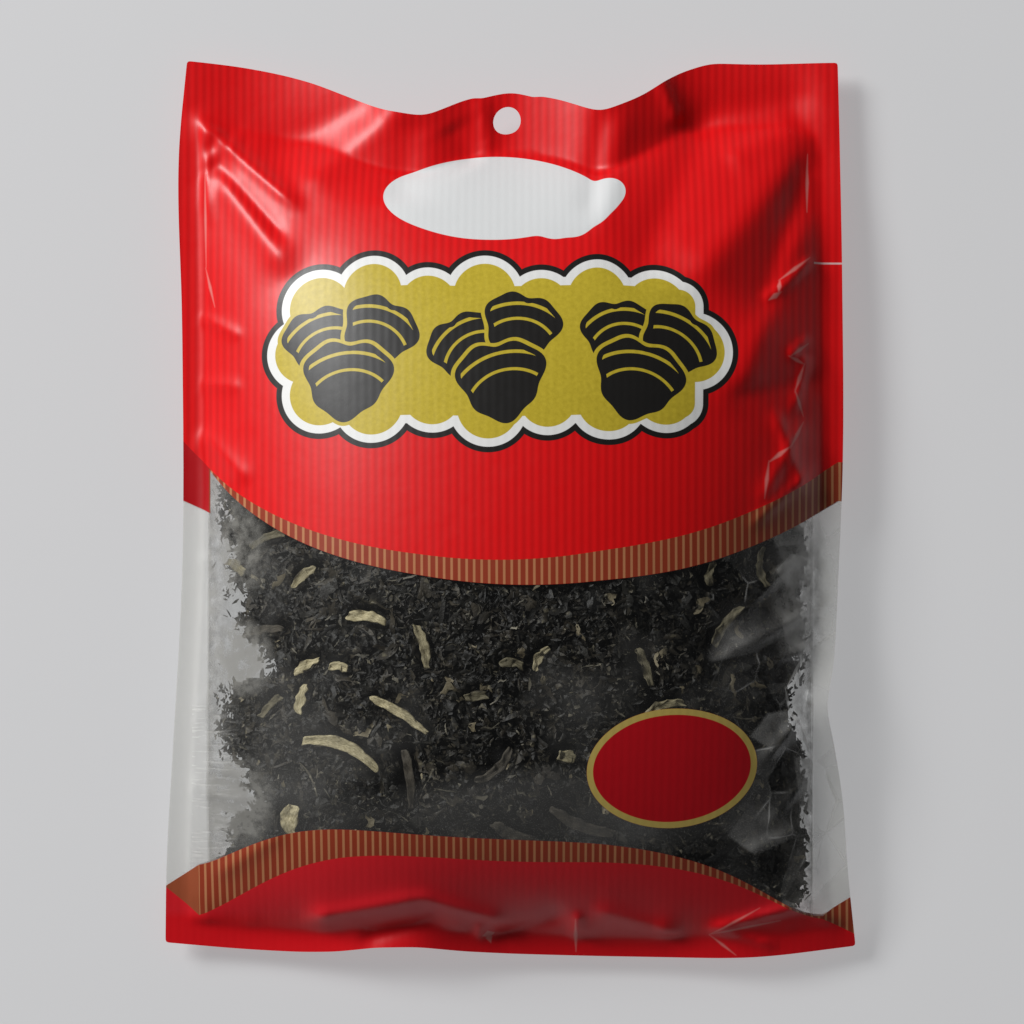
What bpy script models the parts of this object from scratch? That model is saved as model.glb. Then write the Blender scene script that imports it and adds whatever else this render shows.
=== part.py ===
"""A sealed pouch of dried wood ear strips, lying on its back with its printed face up.

Two webs of film are welded together along a flange on all four sides. The header has a round hang hole.
The pouch holds one loose heap of shredded dried fungus, with larger strips lying on it under the front film.
Metres, +Z up, +Y from the bottom seal towards the header. The origin is under the middle, on the table.
"""

import math
import random

import bmesh
import bpy
import numpy as np
from mathutils import Vector
from mathutils.bvhtree import BVHTree

MM = 0.001

# Film and seals.
FILM_WALL = 0.3 * MM
WELD_GAP = 0.3 * MM
SIDE_SEAL = 0.044  # share of the width
BOTTOM_SEAL = 0.034  # shares of the height
TOP_SEAL = 0.074

# The filled pouch.
FLANGE_HEIGHT = 12 * MM
FRONT_RISE = 30 * MM  # of the front film over the flange, where the pouch is fullest
BACK_DROP = 17 * MM  # of the back film under the flange, before the table flattens it
ACROSS_POWER = 2.5
ACROSS_ROUND = 0.85
# Share of the height between the seals, against share of the full thickness.
FILL_PROFILE = ((0, 0), (0.06, 0.42), (0.14, 0.72), (0.28, 0.96), (0.42, 1), (0.6, 0.9), (0.78, 0.6), (0.92, 0.22), (1, 0))

# The flange's outer edge in millimetres, as x, y, z. It waves, because the full pouch pulls the flat film in.
TOP_EDGE = (
    (-89, 123, 7), (-72, 121, 5), (-55, 117, 7), (-40, 111, 12), (-26, 106.5, 17), (-12, 112, 13), (1, 114, 10),
    (13, 112, 13), (25, 108, 18), (38, 114, 13), (49, 121, 8), (68, 122, 6), (90, 122.5, 7),
)
BOTTOM_EDGE = (
    (-95, -119.5, 6), (-72, -121.5, 5), (-50, -122, 8), (-31, -120, 13), (-10, -122, 8), (14, -123, 6),
    (40, -123.5, 6), (66, -123.5, 8), (95, -120.5, 5),
)
LEFT_EDGE = ((-95, -119.5, 6), (-94.5, -98, 9), (-92.5, -65, 12), (-90, -20, 13), (-90, 50, 12), (-91, 100, 9), (-89, 123, 7))
RIGHT_EDGE = (
    (95, -120.5, 5), (92.5, -100, 11), (91, -80, 12), (88.5, -65, 15), (86, -54, 20), (88.5, -42, 15), (89.5, -25, 12),
    (91, 10, 12), (91, 60, 11), (90.5, 100, 8), (90, 122.5, 7),
)

# Grids of the film: more lines next to the seals, where it turns most.
COLUMNS_BETWEEN_SEALS = 18
ROWS_BETWEEN_SEALS = 22
EDGE_CROWDING = 0.35

# Hang hole.
HOLE_RADIUS = 3.85 * MM
HOLE_CENTRE = (-1 * MM, 106.2 * MM)
HOLE_SIDES = 32
CUTTER_DEPTH = 80 * MM

# The heap of strips, in shares of the width and height.
HEAP_CENTRE = (0.49, 0.415)
HEAP_REACH = (0.42, 0.345)
HEAP_SQUARENESS = 0.72
HEAP_BELOW_FRONT = 3.4 * MM
HEAP_ABOVE_BACK = 1 * MM
HEAP_MERIDIANS = 28
HEAP_PARALLELS = 14

# Single strips.
STRIP_WALL = 0.7 * MM
STRIP_CLEARANCE = 0.35 * MM
STRIP_STEPS = 7
STRIP_GUTTER = 0.45 * MM
# x, y, length and width in millimetres, heading in degrees, and bend as a share of the length.
PALE_STRIPS = (
    (-38.6, -29.4, 10.5, 3.0, -7, 0.1), (-23.5, -36.9, 12, 2.5, -75, 0.06), (-29.8, -55.3, 18, 2.3, -32, 0.05),
    (-45.5, -65.2, 22, 3.2, -20, 0.14), (-56.5, -51.5, 8.6, 2.5, 75, 0.05), (-65, -53.5, 8, 1.6, 45, 0.05),
    (-46.5, -42.8, 5.5, 2.2, -5, 0.12), (-55, -42.5, 8, 2.2, 28, 0.08), (-59.8, -84.4, 8, 5, 80, 0.1),
    (-44, -89.5, 7, 1.8, 50, 0.1), (0.5, -41.8, 6, 2.2, -10, 0.15), (8, -40.2, 7, 2, 60, 0.12),
    (-9, -50.5, 6, 2.3, 4, 0.1), (15, -66.8, 5, 2.5, -15, 0.04), (36, -42.5, 11, 2, -70, 0.06),
    (41.5, -53.5, 11, 2.4, 18, 0.14), (58.5, -31.5, 13, 2.6, 52, 0.08), (54, -17.5, 7, 2.2, 80, 0.1),
    (68.5, -16, 11, 1.6, 96, 0.16), (-66, -8.5, 11, 1.8, 22, 0.12), (-56, -18.5, 8, 2.4, 40, 0.08), (-75, -16, 6, 2.8, -30, 0.1),
)
DARK_STRIP_COUNT = 16
DARK_STRIP_SPREAD = ((-70, 62), (-92, 35))  # millimetres in x and in y
DARK_STRIP_LENGTH = (10, 20)
DARK_STRIP_WIDTH = (2.2, 3.4)
STRIP_SPACING = 11  # millimetres between the middles of strips
SEED = 7

PRINTED_RED = (0.62, 0.015, 0.02)
CLEAR_GREY = (0.75, 0.76, 0.76)
CHARCOAL = (0.03, 0.029, 0.026)
STRAW = (0.42, 0.36, 0.2)


def clear_scene():
    for obj in list(bpy.data.objects):
        bpy.data.objects.remove(obj)


def collection_named(name):
    made = bpy.data.collections.new(name)
    bpy.context.scene.collection.children.link(made)
    return made


def material(name, colour, roughness, alpha=1.0):
    made = bpy.data.materials.new(name)
    made.use_nodes = True
    shader = made.node_tree.nodes["Principled BSDF"]
    shader.inputs["Base Color"].default_value = (*colour, 1)
    shader.inputs["Roughness"].default_value = roughness
    shader.inputs["Alpha"].default_value = alpha
    return made


def place(name, mesh, collection, finish):
    obj = bpy.data.objects.new(name, mesh)
    collection.objects.link(obj)
    mesh.materials.append(finish)
    mesh.shade_smooth()
    return obj


def smooth(knots, values, at):
    """The smooth curve through the knots, with each knot's slope taken from its neighbours."""
    knots, values = np.asarray(knots, float), np.asarray(values, float)
    slopes = np.gradient(values, knots)
    i = np.clip(np.searchsorted(knots, at) - 1, 0, len(knots) - 2)
    span = knots[i + 1] - knots[i]
    u = (at - knots[i]) / span
    rise = u * u * (3 - 2 * u)
    return (
        values[i] * (1 - rise)
        + values[i + 1] * rise
        + span * (slopes[i] * u * (1 - u) ** 2 - slopes[i + 1] * u * u * (1 - u))
    )


def along_edge(edge, shares, axis):
    """Points of an edge at even shares of its run along x (axis 0) or y (axis 1), in metres."""
    edge = np.array(edge, float)
    run = edge[:, axis]
    at = run[0] + shares * (run[-1] - run[0])
    return np.stack([smooth(run, edge[:, k], at) for k in range(3)], axis=-1) * MM


def flange_surface(across, up):
    """The sheet that spans the four waving edges: a grid of points, one row for each share of the height."""
    s, t = across[None, :, None], up[:, None, None]
    bottom, top = along_edge(BOTTOM_EDGE, across, 0)[None], along_edge(TOP_EDGE, across, 0)[None]
    left, right = along_edge(LEFT_EDGE, up, 1)[:, None], along_edge(RIGHT_EDGE, up, 1)[:, None]
    corners = (
        (1 - s) * (1 - t) * bottom[:, :1] + s * (1 - t) * bottom[:, -1:] + (1 - s) * t * top[:, :1] + s * t * top[:, -1:]
    )
    return (1 - t) * bottom + t * top + (1 - s) * left + s * right - corners


def fullness(across, up):
    """How full the pouch is at these shares of its width and height: 0 on the flange, 1 where it is fullest."""
    a = np.clip((across - SIDE_SEAL) / (1 - 2 * SIDE_SEAL), 0, 1)
    b = np.clip((up - BOTTOM_SEAL) / (1 - BOTTOM_SEAL - TOP_SEAL), 0, 1)
    crown = (1 - np.abs(2 * a - 1) ** ACROSS_POWER) ** ACROSS_ROUND
    heights, shares = zip(*FILL_PROFILE)
    return crown * np.clip(smooth(heights, shares, b), 0, 1)


def crowded(count):
    """Even shares from 0 to 1, drawn towards both ends."""
    even = np.linspace(0, 1, count + 1)
    return even - EDGE_CROWDING * np.sin(2 * math.pi * even) / (2 * math.pi)


def film_points(across, up, side):
    """The inner face of the front film (side 1) or the back film (side -1)."""
    points = flange_surface(across, up)
    full = fullness(across[None, :], up[:, None])
    calm = np.sqrt(full)  # the flange's waves die out towards the middle
    points[..., 2] += calm * (FLANGE_HEIGHT - points[..., 2])
    points[..., 2] += side * WELD_GAP / 2 + full * (FRONT_RISE if side > 0 else -BACK_DROP)
    points[..., 2] = np.maximum(points[..., 2], FILM_WALL)
    return points


def grid_mesh(name, points, turned=False):
    """A mesh of quads over a grid of points, facing up, or down if turned."""
    rows, columns = points.shape[:2]
    vertices = points.reshape(-1, 3)
    faces = []
    for r in range(rows - 1):
        for c in range(columns - 1):
            low = r * columns + c
            face = (low, low + 1, low + columns + 1, low + columns)
            faces.append(face[::-1] if turned else face)
    mesh = bpy.data.meshes.new(name)
    mesh.from_pydata([tuple(v) for v in vertices], [], faces)
    return mesh


def thicken(obj, wall, outward=1.0):
    solid = obj.modifiers.new("Wall", "SOLIDIFY")
    solid.thickness = wall
    solid.offset = outward


def film_shares():
    between = crowded(COLUMNS_BETWEEN_SEALS) * (1 - 2 * SIDE_SEAL) + SIDE_SEAL
    across = np.concatenate([[0], between, [1]])
    rising = crowded(ROWS_BETWEEN_SEALS) * (1 - BOTTOM_SEAL - TOP_SEAL) + BOTTOM_SEAL
    header = 1 - TOP_SEAL * np.array([2 / 3, 1 / 3, 0])
    return across, np.concatenate([[0], rising, header])


def hang_hole_cutter(collection):
    mesh = bpy.data.meshes.new("hang_hole_cutter")
    drill = bmesh.new()
    bmesh.ops.create_cone(
        drill, cap_ends=True, segments=HOLE_SIDES, radius1=HOLE_RADIUS, radius2=HOLE_RADIUS, depth=CUTTER_DEPTH
    )
    drill.to_mesh(mesh)
    drill.free()
    cutter = bpy.data.objects.new("hang_hole_cutter", mesh)
    cutter.location = (*HOLE_CENTRE, 0)
    cutter.hide_render = True
    cutter.display_type = "WIRE"
    collection.objects.link(cutter)
    return cutter


def film(name, side, collection, finish, cutter):
    across, up = film_shares()
    obj = place(name, grid_mesh(name, film_points(across, up, side), turned=side < 0), collection, finish)
    thicken(obj, FILM_WALL)
    hole = obj.modifiers.new("Hang hole", "BOOLEAN")
    hole.operation = "DIFFERENCE"
    hole.object = cutter
    return obj


def heap(collection, finish):
    """The loose heap: a ball flattened between the two films, with a squarish outline."""
    mesh = bpy.data.meshes.new("strip_heap")
    ball = bmesh.new()
    bmesh.ops.create_uvsphere(ball, u_segments=HEAP_MERIDIANS, v_segments=HEAP_PARALLELS, radius=1)
    for v in ball.verts:
        angle = math.atan2(v.co.y, v.co.x)
        out = math.hypot(v.co.x, v.co.y)
        corner = max(abs(math.cos(angle)), abs(math.sin(angle))) ** -HEAP_SQUARENESS
        s = np.array([HEAP_CENTRE[0] + HEAP_REACH[0] * out * corner * math.cos(angle)])
        t = np.array([HEAP_CENTRE[1] + HEAP_REACH[1] * out * corner * math.sin(angle)])
        roof, floor = film_points(s, t, 1)[0, 0], film_points(s, t, -1)[0, 0]
        roof[2] -= HEAP_BELOW_FRONT
        floor[2] = min(floor[2] + HEAP_ABOVE_BACK, roof[2] - HEAP_ABOVE_BACK)
        height = 0.5 + 0.5 * math.copysign(math.sqrt(abs(v.co.z)), v.co.z)
        v.co = Vector(floor + height * (roof - floor))
    ball.to_mesh(mesh)
    ball.free()
    return place("strip_heap", mesh, collection, finish)


def front_ceiling():
    """The front film's inner face, to lay strips against."""
    across, up = film_shares()
    mesh = grid_mesh("ceiling", film_points(across, up, 1))
    tree = BVHTree.FromPolygons([v.co for v in mesh.vertices], [p.vertices[:] for p in mesh.polygons])
    bpy.data.meshes.remove(mesh)
    return tree


def strip(name, spec, ceiling, collection, finish):
    """One curled strip, hollow side up, lying close under the front film."""
    x, y, length, width, heading, bend = spec
    turn = math.radians(heading)
    forward = np.array([math.cos(turn), math.sin(turn)])
    aside = np.array([-forward[1], forward[0]])
    points = np.zeros((3, STRIP_STEPS + 1, 3))
    for step in range(STRIP_STEPS + 1):
        u = step / STRIP_STEPS
        arc = bend * length * (4 * u * (1 - u) - 0.5)
        half = width / 2 * (0.35 + 0.65 * math.sin(math.pi * (0.12 + 0.8 * u)))
        for row in range(3):
            flat = (
                np.array([x, y])
                + forward * length * (u - 0.5)
                + aside * (arc + half * (row - 1))
            )
            over = ceiling.ray_cast(Vector((flat[0] * MM, flat[1] * MM, 1)), Vector((0, 0, -1)))[0]
            drop = STRIP_CLEARANCE + (STRIP_GUTTER if row == 1 else 0)
            points[row, step] = (over.x, over.y, over.z - drop)
    obj = place(name, grid_mesh(name, points, turned=True), collection, finish)
    thicken(obj, STRIP_WALL)
    return obj


def dark_strip_specs():
    """Scattered strips that keep clear of the pale ones and of each other."""
    rng = random.Random(SEED)
    taken = [spec[:2] for spec in PALE_STRIPS]
    specs = []
    while len(specs) < DARK_STRIP_COUNT:
        x, y = (rng.uniform(*span) for span in DARK_STRIP_SPREAD)
        length = rng.uniform(*DARK_STRIP_LENGTH)
        spec = (x, y, length, rng.uniform(*DARK_STRIP_WIDTH), rng.uniform(0, 180), rng.uniform(-0.15, 0.15))
        if all(math.dist((x, y), other) > STRIP_SPACING + length / 3 for other in taken):
            taken.append((x, y))
            specs.append(spec)
    return specs


def main():
    clear_scene()
    pouch = collection_named("dried_wood_ear_pouch")
    cutters = collection_named("cutters")
    cutter = hang_hole_cutter(cutters)
    film("front_film", 1, pouch, material("printed_film", PRINTED_RED, 0.25), cutter)
    film("back_film", -1, pouch, material("clear_film", CLEAR_GREY, 0.2, alpha=0.4), cutter)
    dark = material("dried_fungus", CHARCOAL, 0.7)
    pale = material("pale_underside", STRAW, 0.8)
    heap(pouch, dark)
    ceiling = front_ceiling()
    for number, spec in enumerate(PALE_STRIPS, 1):
        strip(f"pale_strip_{number:02d}", spec, ceiling, pouch, pale)
    for number, spec in enumerate(dark_strip_specs(), 1):
        strip(f"dark_strip_{number:02d}", spec, ceiling, pouch, dark)


main()
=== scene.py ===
"""The look of a sealed pouch of dried wood ear strips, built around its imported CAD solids.

The films are relaxed as thin sheets between their welded edges. The heap is many single strips of fungus.
Metres, +Z out of the printed face, +Y towards the header. Tables of places and sizes are in millimetres.
"""

import copy
import math

import bmesh
import bpy
import numpy as np
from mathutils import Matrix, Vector
from mathutils.bvhtree import BVHTree


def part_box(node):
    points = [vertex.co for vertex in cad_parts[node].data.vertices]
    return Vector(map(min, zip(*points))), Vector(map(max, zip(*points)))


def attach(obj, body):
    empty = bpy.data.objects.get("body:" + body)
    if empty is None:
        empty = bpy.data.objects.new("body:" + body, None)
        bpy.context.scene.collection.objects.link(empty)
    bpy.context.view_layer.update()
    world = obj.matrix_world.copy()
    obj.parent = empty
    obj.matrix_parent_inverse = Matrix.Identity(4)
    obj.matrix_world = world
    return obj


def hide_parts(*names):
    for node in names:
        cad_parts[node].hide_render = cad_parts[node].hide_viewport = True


MM = 0.001

# The flat webs of film, and how much of them is weld.
FLAT_WIDTH = 195 * MM
FLAT_HEIGHT = 250 * MM
SIDE_WELD = 8 * MM
BOTTOM_WELD = 8 * MM
TOP_WELD = 18.5 * MM
WELD_STEP = 0.3 * MM
WEB_GAP = 0.25 * MM
COLUMNS = 138
ROWS = 176

# The hang hole: its rings of grid cells, and the rings around it that blend into the grid.
HOLE_CENTRE = (-1 * MM, 106.2 * MM)
HOLE_RADIUS = 3.85 * MM
HOLE_RINGS = 3
HOLE_BLEND = 4

# Relaxing the films: spare length of the film's body, and more of it next to the welds, where it puckers.
BODY_SLACK = 0.0015
EDGE_SLACK = 0.022
EDGE_REACH = 9 * MM
PRESSURE = 0.005 * MM
BEND = 0.03
DIAGONAL_FIRMNESS = 0.4
DRAG = 0.9
START_WAVES = (0.4 * MM, 14 * MM)
# Rows and columns of each fineness, its steps, and the rounds of pulling in each step.
LEVELS = ((ROWS // 4, COLUMNS // 4, 120, 4), (ROWS // 2, COLUMNS // 2, 120, 4), (ROWS, COLUMNS, 120, 4))
# The front film settles onto lumps of fungus in the lower half, and may rise above its CAD skin.
LUMPS = (0.55 * MM, 13 * MM)
LUMPS_FADE = (5 * MM, 6 * MM)
FRONT_SINK = 1.5 * MM
FRONT_RISE = 9 * MM
BACK_SINK = 6 * MM
BACK_RISE = 0.5 * MM
BACK_LOWEST = 0.05 * MM
# Large folds of the front film: from x, y to x, y, height, half width, and roundness of the crest.
FOLDS = (
    (-85, 106, -59, 83, 2.4, 3.2, 0.25), (-80, 94, -62, 74, -1.4, 2.2, 0.3), (-79, 91, -61, 66, 2.0, 5, 0.5),
    (-84.5, 106, -82.5, 80, 0.9, 1.2, 0.3), (-29, 110, -56, 88, 1.7, 6, 0.5), (-36, 112, -66, 98, -1.3, 6, 0.6),
    (-26, 106, -30, 84, -1.6, 7, 0.6), (-8, 112, -6, 97, 1.2, 1.8, 0.4), (-16, 104, -10, 94, -1.0, 5, 0.5),
    (25, 108, 21.5, 80, -1.1, 3.5, 0.5), (31, 108, 25, 76, 1.0, 4.5, 0.6), (41, 118, 46, 106, 2.0, 2.4, 0.35),
    (55, 110, 34, 62, -2.2, 8, 0.6), (80, 97, 50, 62, 3.0, 8, 0.6), (82, 98, 68, 52, -2.6, 6, 0.5),
    (47, 105, 82, 113, -1.6, 7, 0.6), (60, 96, 78, 104, 1.2, 5, 0.5), (82, 68, 74, 60, 1.4, 1.1, 0.2),
    (74, 60, 69, 57, 1.4, 1.1, 0.2), (81, 46, 76, 42, 1.4, 1.0, 0.2), (76, 42, 81, 40, 1.2, 1.0, 0.2),
    (81, 40, 77, 27, 1.3, 1.1, 0.25), (72, 25, 80, 5, 1.5, 2.0, 0.3), (79, 22, 68, 2, 1.2, 2.4, 0.4),
    (82, 10, 66, -4, 1.3, 1.8, 0.3), (60, 30, 84, 36, -1.2, 4, 0.5), (80, 78, 61, 30, 2.6, 7, 0.5),
    (76, -15, 60, -30, 1.4, 2.0, 0.3), (82, -28, 57, -40, 1.5, 2.0, 0.3), (82, -38, 60, -44, 1.4, 1.5, 0.25),
    (79, -48, 66, -52, 1.4, 1.6, 0.25), (80, -56, 69, -68, 1.6, 2.0, 0.3), (80, -74, 70, -86, 1.2, 2.0, 0.3),
    (81, -86, 64, -94, 1.2, 2.4, 0.4), (72, -104, 90, -114, 1.4, 2.0, 0.3), (56, -115, 82, -108, 1.8, 1.6, 0.25),
    (56, -115, 72, -120, 1.2, 1.5, 0.25), (-54, -112, -24, -106, 2.0, 3.0, 0.4),
    (-24, -106, -2, -113, 1.6, 2.5, 0.35), (-40, -118, -20, -112, -2.0, 3.0, 0.4), (-4, -118, 14, -111, -1.6, 3.0, 0.4),
    (-9, -118, -8, -114, 1.6, 1.2, 0.3), (18, -118, 18.5, -111, 1.5, 1.2, 0.25), (24, -110, 44, -116, 1.4, 3.0, 0.4),
    (-80, -100, -62, -88, 1.2, 3.0, 0.4), (-84, -70, -70, -74, 0.9, 1.2, 0.25), (-84, -78, -72, -79, 0.8, 1.0, 0.25),
    (-84, -64, -74, -63, 0.8, 1.0, 0.25), (-84, -14, -70, -18, 1.0, 2.0, 0.3), (-84, 20, -72, 8, 1.2, 3.0, 0.4),
    (-84, 52, -74, 47, 0.9, 1.4, 0.3), (-84, 34, -74, 33, 0.8, 2.0, 0.3),
)

# The heap: its left and right edge as x over y, and how far its layers spread past its CAD solid.
HEAP_SPREAD = 6.5 * MM
HEAP_LEFT = (
    (-76, -78.2, -78.2, -76, -69.2, -73, -75.2, -78.2, -80.7, -80.7, -78.9, -80.4, -68.5, -66, -69, -73.7, -76, -76.5,
     -79, -81, -80.8, -78, -76),
    (-110, -98, -89.4, -84.2, -79.5, -74.8, -70.1, -67.9, -64.6, -60.2, -54.7, -48.4, -46.5, -44.6, -39.3, -33, -23.1,
     -12.9, -5.2, -1.4, 9.4, 30, 60),
)
HEAP_RIGHT = (
    (78, 82.5, 82.5, 81.5, 79.6, 82, 81.5, 79.3, 78.2, 76.5, 76, 77, 79, 81, 80.5, 79.5, 81.5, 81.3, 80, 78),
    (-112, -105, -98, -92, -87, -83, -76, -71, -63, -58, -53, -48, -44, -35, -30, -22, -14, -4.6, 10, 60),
)
# Waves of the heap's edge and of its core: height, seed, length and count.
EDGE_WAVES = (0.8 * MM, 11, 6 * MM, 30)
CORE_WAVES = (0.7 * MM, 21, 5 * MM, 40)
STRIP_ROOM = 0.15 * MM
STRIP_SHADE = 0.2 * MM
CORE_GRID = (140, 150)
CORE_ROUND = 14 * MM
CORE_DEPTH = 4.0 * MM
CORE_INSET = (3.6 * MM, 1.4 * MM)
FLANGE = 12 * MM
WIDEST_STRIP = 81.5 * MM
WINDOW = (-82, 82, -116, 14)
# The layers of strips: name, count, film they lie on (1 front, -1 back), length, width, depths, seed, steps along a
# strip, distance kept from the heap's edge, how far some fall outside it, and look.
HEAP_LAYERS = (
    ("heap_strips_1", 4200, 1, 3.4, 1.3, (1.1, 4.5), 1, 5, 2.2, 0.3, "dark_fungus"),
    ("heap_strips_2", 2600, 1, 3.0, 1.1, (1.0, 3.5), 2, 5, 1.8, 0.3, "brown_fungus"),
    ("heap_crumbs_1", 11000, 1, 1.45, 0.95, (0.3, 2.6), 3, 2, 0.4, 0.5, "dark_fungus"),
    ("heap_crumbs_3", 3600, 1, 1.1, 0.75, (0.3, 1.6), 7, 2, 0.4, 0.8, "brown_fungus"),
    ("heap_specks_1", 700, 1, 1.3, 0.6, (0.3, 1.0), 4, 3, 0.4, 0.5, "grey_fungus"),
    ("heap_fibres_1", 110, 1, 3.8, 0.4, (0.25, 0.9), 8, 7, 3.0, 0.3, "grey_fungus"),
    ("heap_flakes_1", 360, 1, 4.6, 2.0, (0.4, 1.5), 11, 6, 2.6, 0.3, "brown_fungus"),
    ("heap_flakes_2", 320, 1, 4.0, 1.9, (0.4, 1.5), 12, 6, 2.6, 0.3, "dark_fungus"),
    ("heap_flakes_3", 80, 1, 3.2, 1.7, (0.3, 0.8), 13, 6, 2.6, 0.3, "tan_fungus"),
    ("heap_dust_1", 3200, 1, 0.55, 0.4, (0.25, 1.2), 9, 1, 0.0, 2.6, "dark_fungus"),
    ("heap_dust_2", 600, 1, 0.6, 0.4, (0.25, 1.2), 10, 1, 0.0, 2.0, "grey_fungus"),
    ("heap_strips_3", 3600, -1, 3.6, 1.4, (0.6, 4.5), 5, 4, 2.0, 0.3, "dark_fungus"),
    ("heap_crumbs_2", 5000, -1, 1.7, 1.1, (0.4, 3.0), 6, 2, 0.4, 0.5, "brown_fungus"),
    ("heap_flakes_4", 260, -1, 5.0, 2.2, (0.4, 1.4), 14, 6, 2.6, 0.3, "brown_fungus"),
    ("heap_specks_2", 300, -1, 1.4, 0.7, (0.3, 1.0), 15, 3, 0.6, 0.5, "grey_fungus"),
    ("heap_flakes_5", 60, -1, 3.6, 1.8, (0.3, 0.8), 16, 6, 2.6, 0.3, "tan_fungus"),
)
# Colours of the fungus: its darker blotches, its lighter blotches, and its specks.
FUNGUS = {
    "dark_fungus": ((0.0035, 0.0032, 0.0024), (0.0215, 0.0192, 0.0142), (0.1, 0.087, 0.06)),
    "brown_fungus": ((0.008, 0.0063, 0.0037), (0.046, 0.037, 0.0225), (0.16, 0.14, 0.088)),
    "grey_fungus": ((0.05, 0.045, 0.032), (0.17, 0.152, 0.11), (0.34, 0.31, 0.23)),
    "tan_fungus": ((0.11, 0.088, 0.05), (0.27, 0.23, 0.145), (0.42, 0.37, 0.25)),
}
# Colours of the single strips: rim, dark and light fibres. The pale ones come in three brightnesses.
PALE_STRIP = ((0.1, 0.08, 0.04), (0.3, 0.25, 0.125), (0.68, 0.6, 0.38))
PALE_SHARES = (1.0, 0.62, 0.3)
PALE_LOOKS = (0, 1, 0, 0, 0, 2, 0, 0, 0, 0, 2, 1, 2, 1, 2, 1, 2, 2, 2, 2, 1, 1)
BROWN_STRIP = ((0.02, 0.016, 0.011), (0.035, 0.028, 0.02), (0.1, 0.085, 0.06))
STRIP_SEED = 100
# Waves of the single strips: length, and how far they move a place upwards, as rough waves and fine crimps.
ROUGH_WAVES = (3.5 * MM, 0.4 * MM)
CRIMP_WAVES = (1.8 * MM, 0.15 * MM)

# The print: units of its map in a metre, colours, and the pitch of its fine ribs and of the stripes of its bands.
PRINT_SCALE = 10
RIB_PITCH = 2.2
BAND_PITCH = 2.0
RED_BRIGHT = (0.78, 0.0045, 0.006)
RED_DEEP = (0.63, 0.003, 0.0045)
RED_LOW = (0.66, 0.012, 0.020)
RED_WELD = (0.68, 0.005, 0.010)
RED_SEAL = (0.42, 0.003, 0.007)
BAND_DARK = (0.28, 0.038, 0.015)
BAND_LIGHT = (0.46, 0.19, 0.085)
BAND_PLAIN = (0.32, 0.075, 0.03)
# The ink's gloss: roughness, specular level, and the coat's weight and roughness.
INK_ROUGH = 0.35
INK_SPECULAR = 0.28
INK_COAT = (0.14, 0.24)
# Slope and start of the edges of the stripes, and of the lowest red over y.
STRIPE_EDGE = (2.2, -0.6)
LOW_FADE = (-0.4, -44.2)
# Polynomials of x for the edges of the red areas and bands, and the straight ends of the bands in the welds.
UPPER_RED = (-6.482, 14.089, -0.728, 25.776, 1.618, -14.65)
UPPER_BAND = (-15.087, 20.564, 3.898, 23.375, -3.556, -21.277)
LOWER_BAND = (150.647, 2.638, -160.255, 20.525, 13.344, -21.081, -2.494, -4.711, -90.571)
LOWER_RED = (77.344, -0.131, -37.708, 3.945, -56.37, 1.919, 9.954, -4.049, -96.581)
UPPER_BAND_LEFT = (-89.1, 1.65, -82, -1.5)
LOWER_BAND_LEFT = (-95, -104, -85.4, -97.9)
LOWER_RED_LEFT = (-95, -104, -85.4, -111.7)
LOWER_BAND_RIGHT = (85.4, -111.9, 93, -107.3)
LOWER_RED_RIGHT = (85.4, -112.6, 94.5, -117)
WELD_LINE = 85.4
SEAL_LINE = 82.5
WELD_START = 82
# Painted highlight of the crease across the right weld, as a light line: its y, and the x where it starts.
WELD_CREASE_GLEAM = (67.2, 83.0)
# Painted highlights of creases, drawn as light lines in the print: from x, y to x, y, and half width.
CREASE_GLEAM_COLOUR = (0.75, 0.3, 0.27)
CREASE_GLEAMS = (
    (81.8, 68.6, 72.4, 61.8, 0.5), (72.8, 62.2, 72.4, 58.2, 0.6), (73.2, 58.8, 69.6, 56.4, 0.7),
    (81.2, 45, 75.6, 41.2, 0.45), (75.2, 41.4, 80, 39.2, 0.5), (80, 39.6, 77, 31.5, 0.55), (77, 32.4, 79.6, 25, 0.4),
    (79.6, 23.5, 75.6, 16.2, 0.5), (75.8, 16.8, 69.6, 12.2, 0.6), (69.8, 12.8, 68.6, 2.4, 0.5),
    (81.4, 97, 81, 81, 0.45), (17.8, -112.4, 18, -122, 0.5), (54.6, -117.2, 68.2, -109.4, 0.35),
    (54.6, -117.2, 62, -123, 0.35), (54.8, -117, 74, -113, 0.3), (-7.6, -117.6, -4.4, -116.6, 1.1),
    (-6.4, -116.6, -5.4, -119.6, 0.9), (-83.6, 66, -80.6, 55, 0.4), (-83.8, 92, -83.4, 66, 0.35),
)
# The plaque: centre x and y, half sides and corner radius, and the puffs of its cloud as x, y and radius.
PLATE = (-2.8, 41, 48, 13, 8)
PUFFS = (
    (-48, 12, 12), (-34, 15.5, 11.5), (-19, 12, 11.5), (-4, 15, 12), (11, 11.5, 11.5), (26, 14, 11.5),
    (42, 11.5, 12), (52, 1, 12), (44, -11, 12), (29, -13.5, 12), (13, -12.5, 11.5), (-3, -15, 12),
    (-18, -12, 11.5), (-34, -14, 12), (-48, -11, 12), (-52.5, 0, 11.5),
)
PLATE_RIMS = (0.0, 1.5, 3.7)
# The zone of the plaque and the label: its half width around the plaque, and the lowest y.
PLATE_ZONE = (69, 12)
PLATE_BLACK = (0.012, 0.011, 0.01)
PLATE_WHITE = (0.8, 0.8, 0.78)
GOLD_DARK = (0.42, 0.32, 0.02)
GOLD_LIGHT = (0.62, 0.48, 0.04)
# The drawings of wood ears: x, y and turn, and each one's lobes as x, y, size and tilt.
EARS = ((-42.6, 41, 0), (-3, 40.5, 14), (36.4, 40.5, -10))
LOBES = ((-8.5, 4, 9.5, 25), (7.5, 5.5, 10, -20), (-1, -7, 11.5, 4))
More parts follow.
